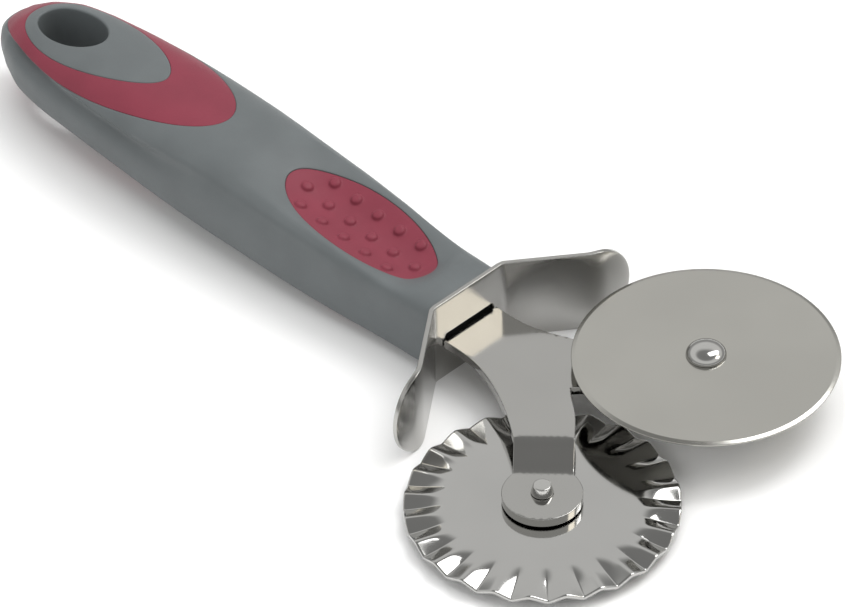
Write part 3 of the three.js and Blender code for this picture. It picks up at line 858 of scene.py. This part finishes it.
def fork_place(plan, depth):
    """Bends the flat fork: each eye is cranked up or down across its arm."""
    point = np.stack([plan[:, 0], plan[:, 1], np.zeros(len(plan))], 1)
    for rise, side in ((PLAIN_CRANK, 1), (FLUTED_CRANK, -1)):
        heading = np.array([math.cos(ARM_ANGLE), side * math.sin(ARM_ANGLE)])
        along = (plan - (AXLE_X, side * AXLE_Y)) @ heading
        run = abs(rise) * CRANK_RUN_PER_RISE
        start, end = -CRANK_CLEAR - run, -CRANK_CLEAR
        step = 0.01
        lift = rise / run * (soft_ramp(along - start) - soft_ramp(along - end))
        ahead = rise / run * (soft_ramp(along + step - start) - soft_ramp(along + step - end))
        slope = np.arctan((ahead - lift) / step)
        mine = (plan[:, 1] * side > 0)[:, None]
        shift = np.stack([
            np.sin(slope) * heading[0] * depth,
            np.sin(slope) * heading[1] * depth,
            lift - np.cos(slope) * depth,
        ], 1)
        point += np.where(mine, shift, 0)
    on_axis = plan[:, 1] == 0
    point[on_axis, 2] = -depth
    return point


def make_fork():
    half = fork_half_outline()
    mirrored = half * (1, -1)
    corner = TANG_HALF / 2
    start = [(-TANG_LENGTH, -corner), (corner - TANG_LENGTH, -TANG_HALF), (SHOULDER_X, -TANG_HALF)]
    end = [(SHOULDER_X, TANG_HALF), (corner - TANG_LENGTH, TANG_HALF), (-TANG_LENGTH, corner)]
    outline = np.concatenate([start, mirrored, half[::-1][1:], end])
    outline = densified(outline, FORK_EDGE_SPACING)
    holes = [circle(AXLE_X, side * AXLE_Y, SHAFT_RADIUS + PLAY, 48, True) for side in (1, -1)]
    holes += [circle(x, 0, TANG_HOLE_RADIUS, 40, True) for x in TANG_HOLES_X]
    rim = sheet_rim(FORK_SHEET, FORK_EDGE_BREAK)
    vertices, faces = plate([outline, *holes], rim, FORK_SPACING, fork_place)
    add_piece(
        "fork_sheet", vertices, faces, fork_steel, "frame", "fork",
        weighted=True,
    )


make_fork()

# ---------------------------------------------------------------- guard


def guard_path():
    """Distance along half of the guard, and the place and heading of its front face there."""
    first = GUARD_BEND_RADIUS * math.tan(GUARD_SWEEP / 2)
    turn_back = GUARD_SWEEP - GUARD_FLARE
    second = GUARD_FLARE_RADIUS * math.tan(turn_back / 2)
    spans = [
        (GUARD_FLAT_HALF - first, 0),
        (GUARD_BEND_RADIUS * GUARD_SWEEP, GUARD_SWEEP),
        (GUARD_SWEEP_LENGTH - first - second, 0),
        (GUARD_FLARE_RADIUS * turn_back, -turn_back),
        (GUARD_TIP_LENGTH - second, 0),
    ]
    rows = [(0.0, 0.0, 0.0, 0.0)]
    for length, turn in spans:
        for _ in range(BEND_STEPS):
            travelled, x, y, heading = rows[-1]
            step = length / BEND_STEPS
            mean = heading + turn / BEND_STEPS / 2
            rows.append((
                travelled + step,
                x + math.sin(mean) * step,
                y + math.cos(mean) * step,
                heading + turn / BEND_STEPS,
            ))
    return np.array(rows)


path = guard_path()


def guard_place(flat, depth):
    """Wraps the flat strip, whose plan is (distance along it, height), round its bends."""
    along = np.abs(flat[:, 0])
    side = np.where(flat[:, 0] < 0, -1, 1)
    x, y, heading = (np.interp(along, path[:, 0], path[:, k]) for k in (1, 2, 3))
    return np.stack([
        x - np.cos(heading) * depth,
        (y + np.sin(heading) * depth) * side,
        flat[:, 1],
    ], 1)


def make_guard():
    reach = path[-1, 0]
    straight = reach - GUARD_TIP_LENGTH
    angle = np.linspace(-math.pi / 2, math.pi / 2, 60)
    tip = np.stack([
        straight + GUARD_TIP_LENGTH * np.cos(angle),
        GUARD_HALF_HEIGHT * np.sin(angle),
    ], 1)
    outline = densified(np.concatenate([tip, -tip]), GUARD_EDGE_SPACING)
    slot = rounded([
        (-SLOT_HALF, SLOT_BOTTOM),
        (-SLOT_HALF, SLOT_TOP),
        (SLOT_HALF, SLOT_TOP),
        (SLOT_HALF, SLOT_BOTTOM),
    ], SLOT_CORNER)
    rim = sheet_rim(GUARD_SHEET, GUARD_EDGE_BREAK)
    loops = [outline, densified(slot, GUARD_EDGE_SPACING)]
    vertices, faces = plate(loops, rim, GUARD_SPACING, guard_place)
    add_piece(
        "guard_strip", vertices, faces, guard_steel, "frame", "finger_guard",
        weighted=True,
    )


make_guard()

# ---------------------------------------------------------------- wheels, washers and rivets


def make_plain_wheel(z):
    land = PLAIN_RADIUS - PLAIN_BEVEL_RUN
    section = rounded([
        (WHEEL_BORE, 0),
        (land, 0),
        (PLAIN_RADIUS, PLAIN_BEVEL_DROP),
        (PLAIN_RADIUS, WHEEL_SHEET - PLAIN_BEVEL_DROP),
        (land, WHEEL_SHEET),
        (WHEEL_BORE, WHEEL_SHEET),
    ], PLAIN_EDGE_ROUNDING, steps=3)
    rings = [(radius, height + z) for radius, height in section]
    vertices, faces = turned(rings, PLAIN_WHEEL_POINTS, AXLE_X, AXLE_Y, True)
    add_piece(
        "plain_disc", vertices, faces, plain_steel, "plain_wheel",
        "plain_wheel", weighted=True,
    )


def flute_lift(radius, angle):
    """Rounded crests and sharp valleys with flat faces between them, growing to the rim."""
    turns = FLUTE_COUNT * (angle - FLUTE_PHASE) / TURN
    from_crest = 1 - 2 * np.abs((turns + 0.5) % 1 - 0.5)
    wave = FLUTE_CREST - 2 * np.sqrt(from_crest**2 + FLUTE_CREST_SOFTNESS)
    fade = smoothstep(FLUTE_INNER_RADIUS, FLUTE_FULL_RADIUS, radius)
    grown = smoothstep(FLUTE_FULL_RADIUS - FLUTE_GROWTH_RUN, FLUTED_RADIUS, radius)
    growth = 1 - FLUTE_GROWTH + FLUTE_GROWTH * grown
    sink = FLUTE_RIM_SINK * smoothstep(FLUTE_INNER_RADIUS - 1, FLUTED_RADIUS + 2, radius)
    return FLUTE_AMPLITUDE * wave * fade * growth - sink


def make_fluted_wheel(z):
    radii = np.concatenate([
        [WHEEL_BORE, 8, 14],
        np.linspace(FLUTE_INNER_RADIUS - 0.8, FLUTED_RADIUS - FLUTED_EDGE_BREAK, 30),
    ])
    count = FLUTE_COUNT * FLUTE_POINTS
    angle = np.arange(count) / count * TURN + FLUTE_PHASE
    section = [(radius, WHEEL_SHEET) for radius in radii]
    section += [(FLUTED_RADIUS, WHEEL_SHEET - FLUTED_EDGE_BREAK)]
    section += [(FLUTED_RADIUS, FLUTED_EDGE_BREAK)]
    section += [(radius, 0) for radius in radii[::-1]]
    rings = []
    for radius, height in section:
        rings.append(np.stack([
            AXLE_X + radius * np.cos(angle),
            -AXLE_Y + radius * np.sin(angle),
            z + height + flute_lift(np.full(count, radius), angle),
        ], 1))
    vertices, faces = strips(rings, closed_across=True)
    add_piece(
        "fluted_disc", vertices, faces, fluted_steel, "fluted_wheel",
        "fluted_wheel", sharp=50,
    )


def make_washer(name, node, y, z):
    section = rounded([
        (WHEEL_BORE, z),
        (WASHER_RADIUS, z),
        (WASHER_RADIUS, z + WASHER_SHEET),
        (WHEEL_BORE, z + WASHER_SHEET),
    ], WASHER_ROUNDING, steps=2)
    vertices, faces = turned(section, SMALL_ROUND_POINTS, AXLE_X, y, True)
    add_piece(name, vertices, faces, rivet_steel, "frame", node, weighted=True)


def make_rivet(name, node, y, head_z, grip, up):
    """A domed head from head_z on, and a tail beyond the parts that it holds."""
    shaft = grip + PLAY
    dome = [
        (HEAD_RADIUS * math.cos(angle) ** 0.9, HEAD_HEIGHT * math.sin(angle) ** 1.05)
        for angle in np.linspace(0, math.pi / 2, 20)
    ]
    tail = rounded([
        (0, -shaft - TAIL_HEIGHT),
        (TAIL_TIP, -shaft - TAIL_HEIGHT),
        (TAIL_BASE, -shaft),
        (SHAFT_RADIUS, -shaft),
        (SHAFT_RADIUS, 0),
        (HEAD_RADIUS, 0),
    ], RIVET_ROUNDING, closed=False)
    section = [(radius, head_z + up * height) for radius, height in [*tail, *dome[1:]]]
    vertices, faces = turned(section, SMALL_ROUND_POINTS, AXLE_X, y, False)
    add_piece(name, vertices, faces, rivet_steel, "frame", node)


washer_z = PLAIN_CRANK + PLAY
wheel_z = washer_z + WASHER_SHEET + PLAY
head_z = wheel_z + WHEEL_SHEET + PLAY
make_washer("plain_washer", "plain_wheel_washer", AXLE_Y, washer_z)
make_plain_wheel(wheel_z)
make_rivet("plain_rivet", "plain_wheel_rivet", AXLE_Y, head_z, head_z - PLAIN_CRANK + FORK_SHEET, 1)

washer_z = FLUTED_CRANK - FORK_SHEET - PLAY - WASHER_SHEET
wheel_z = washer_z - PLAY - WHEEL_SHEET
head_z = wheel_z - PLAY
make_washer("fluted_washer", "fluted_wheel_washer", -AXLE_Y, washer_z)
make_fluted_wheel(wheel_z)
make_rivet("fluted_rivet", "fluted_wheel_rivet", -AXLE_Y, head_z, FLUTED_CRANK - head_z, -1)

# ---------------------------------------------------------------- floor and light

FLOOR_HALF = 3.0


def add_floor():
    nodes = Nodes("floor_paint")
    cloud = nodes.noise(3, detail=2)
    nodes.link(nodes.shades(cloud, (0.86, 0.86, 0.86), (0.9, 0.9, 0.9)), "Base Color")
    nodes.shader.inputs["Roughness"].default_value = 0.9
    nodes.shader.inputs["Specular IOR Level"].default_value = 0.1
    mesh = bpy.data.meshes.new("floor")
    signs = [(-1, -1), (1, -1), (1, 1), (-1, 1)]
    corners = [(FLOOR_HALF * x, FLOOR_HALF * y, 0) for x, y in signs]
    mesh.from_pydata(corners, [], [(0, 1, 2, 3)])
    mesh.materials.append(nodes.material)
    floor = bpy.data.objects.new("floor", mesh)
    bpy.context.scene.collection.objects.link(floor)


def add_softbox(name, direction, distance, width, height, power, colour=(1, 1, 1), mirrored=True):
    """A rectangle of light in a direction from the middle of the tool, facing it."""
    data = bpy.data.lights.new(name, "AREA")
    data.shape = "RECTANGLE"
    data.size = width
    data.size_y = height
    data.energy = power
    data.color = colour
    light = bpy.data.objects.new(name, data)
    direction = Vector(direction).normalized()
    light.location = direction * distance
    light.rotation_mode = "QUATERNION"
    light.rotation_quaternion = direction.to_track_quat("Z", "Y")
    light.visible_glossy = mirrored
    bpy.context.scene.collection.objects.link(light)


# Brightness of the studio round the tool, by the height of the direction looked in
STUDIO_SHADES = ((0.0, 0.55), (0.3, 0.35), (0.5, 0.8), (0.74, 0.8), (0.9, 0.3), (1.0, 0.28))


def add_studio():
    world = bpy.data.worlds.new("studio")
    world.use_nodes = True
    bpy.context.scene.world = world
    tree = world.node_tree
    where = tree.nodes.new("ShaderNodeTexCoord")
    split = tree.nodes.new("ShaderNodeSeparateXYZ")
    ramp = tree.nodes.new("ShaderNodeValToRGB")
    ramp.color_ramp.interpolation = "EASE"
    while len(ramp.color_ramp.elements) < len(STUDIO_SHADES):
        ramp.color_ramp.elements.new(0.5)
    for element, (height, shade) in zip(ramp.color_ramp.elements, STUDIO_SHADES):
        element.position = height
        element.color = (shade, shade, shade * 0.985, 1)
    tree.links.new(where.outputs["Generated"], split.inputs["Vector"])
    tree.links.new(split.outputs["Z"], ramp.inputs["Fac"])
    tree.links.new(ramp.outputs["Color"], tree.nodes["Background"].inputs["Color"])
    bpy.context.scene.view_settings.view_transform = "Standard"
    add_softbox("key", (0.15, 0.49, 0.86), 1.0, 0.32, 0.6, 3.2)
    add_softbox("warm_window", (0.59, 0.47, 0.66), 1.0, 0.3, 0.3, 0.85, (1, 0.93, 0.8))
    add_softbox("skylight", (0, 0.15, 1), 1.5, 1.8, 1.8, 17.0, mirrored=False)
    add_softbox("fill", (-0.1, -0.85, 0.5), 1.2, 0.9, 0.6, 2.5, mirrored=False)


add_floor()
add_studio()
